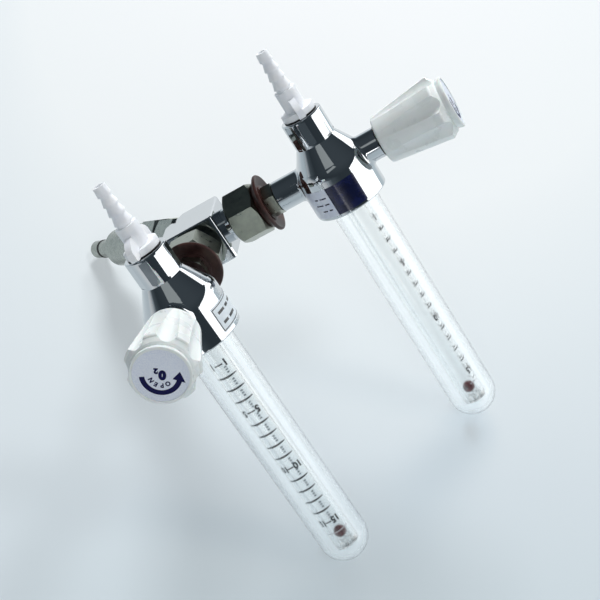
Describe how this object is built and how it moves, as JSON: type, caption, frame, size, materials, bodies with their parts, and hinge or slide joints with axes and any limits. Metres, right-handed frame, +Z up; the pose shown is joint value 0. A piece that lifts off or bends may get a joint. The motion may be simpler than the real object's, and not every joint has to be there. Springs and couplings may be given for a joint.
{
  "type": "twin oxygen flowmeter",
  "caption": "Twin oxygen flowmeter: clear tubes with ball floats, white needle-valve knobs and hose tails on plated bodies, joined by a right-angled manifold with one gas probe.",
  "frame": {"origin": "centre of the footprint, on the surface that the tube domes and the probe's nose rest on", "axes": "+Z up from the surface; +Y from the knobs towards the gas probe; X = 0 is the mirror plane between the two flowmeters"},
  "size_m": [0.2474, 0.2693, 0.1912],
  "materials": {
    "chrome_plate": "bright chromium plate on cast brass",
    "nickel_nut": "satin nickel plate on turned brass",
    "nickel_probe": "satin nickel plate on turned brass",
    "turned_brass": "turned brass",
    "stainless": "turned stainless steel",
    "sintered_bronze": "sintered bronze",
    "clear_tube": "clear moulded polycarbonate",
    "white_knob": "moulded white ABS",
    "cap_print": "printed disc with navy marks",
    "white_tail": "moulded white nylon",
    "red_ball": "polished ball",
    "brown_rubber": "moulded brown rubber",
    "seal_rubber": "black seal rubber"
  },
  "bodies": {
    "manifold": {"left_flowmeter_body": "chrome_plate", "left_outer_tube": "clear_tube", "left_tube_ring": "turned_brass", "left_tube_gasket": "seal_rubber", "left_metering_tube": "clear_tube", "left_metering_gasket": "seal_rubber", "left_float_stop": "clear_tube", "left_hose_tail": "white_tail", "left_hose_tail_seal": "seal_rubber", "left_valve_bonnet": "turned_brass", "left_spindle_seal": "seal_rubber", "left_union_nut": "nickel_nut", "left_lock_nut": "nickel_nut", "left_inlet_nipple": "turned_brass", "left_nipple_seal": "seal_rubber", "left_inlet_filter": "sintered_bronze", "left_sealing_collar": "brown_rubber", "right_flowmeter_body": "chrome_plate", "right_outer_tube": "clear_tube", "right_tube_ring": "turned_brass", "right_tube_gasket": "seal_rubber", "right_metering_tube": "clear_tube", "right_metering_gasket": "seal_rubber", "right_float_stop": "clear_tube", "right_hose_tail": "white_tail", "right_hose_tail_seal": "seal_rubber", "right_valve_bonnet": "turned_brass", "right_spindle_seal": "seal_rubber", "right_union_nut": "nickel_nut", "right_lock_nut": "nickel_nut", "right_inlet_nipple": "turned_brass", "right_nipple_seal": "seal_rubber", "right_inlet_filter": "sintered_bronze", "right_sealing_collar": "brown_rubber", "manifold_block": "chrome_plate", "probe_adaptor": "nickel_nut", "probe_nut": "nickel_nut", "gas_probe": "nickel_probe", "probe_face_seal": "seal_rubber", "probe_nose_seal": "seal_rubber"},
    "left_knob": {"left_knob": "white_knob", "left_knob_cap": "cap_print", "left_knob_screw": "stainless", "left_valve_spindle": "stainless"},
    "left_float": {"left_ball_float": "red_ball"},
    "right_knob": {"right_knob": "white_knob", "right_knob_cap": "cap_print", "right_knob_screw": "stainless", "right_valve_spindle": "stainless"},
    "right_float": {"right_ball_float": "red_ball"}
  },
  "joints": [
    {"name": "left_knob_turn", "type": "hinge", "parent": "manifold", "child": "left_knob", "pos_m": [-0.08909, -0.03293, 0.15275], "axis": [-0.7071, -0.5236, 0.4752], "range_deg": [0, 630]},
    {"name": "left_float_rise", "type": "slide", "parent": "manifold", "child": "left_float", "axis": [0, 0.672, 0.7405], "range_m": [0, 0.1433]},
    {"name": "right_knob_turn", "type": "hinge", "parent": "manifold", "child": "right_knob", "pos_m": [0.08909, -0.03293, 0.15275], "axis": [0.7071, -0.5236, 0.4752], "range_deg": [0, 630]},
    {"name": "right_float_rise", "type": "slide", "parent": "manifold", "child": "right_float", "axis": [0, 0.672, 0.7405], "range_m": [0, 0.1433]}
  ]
}
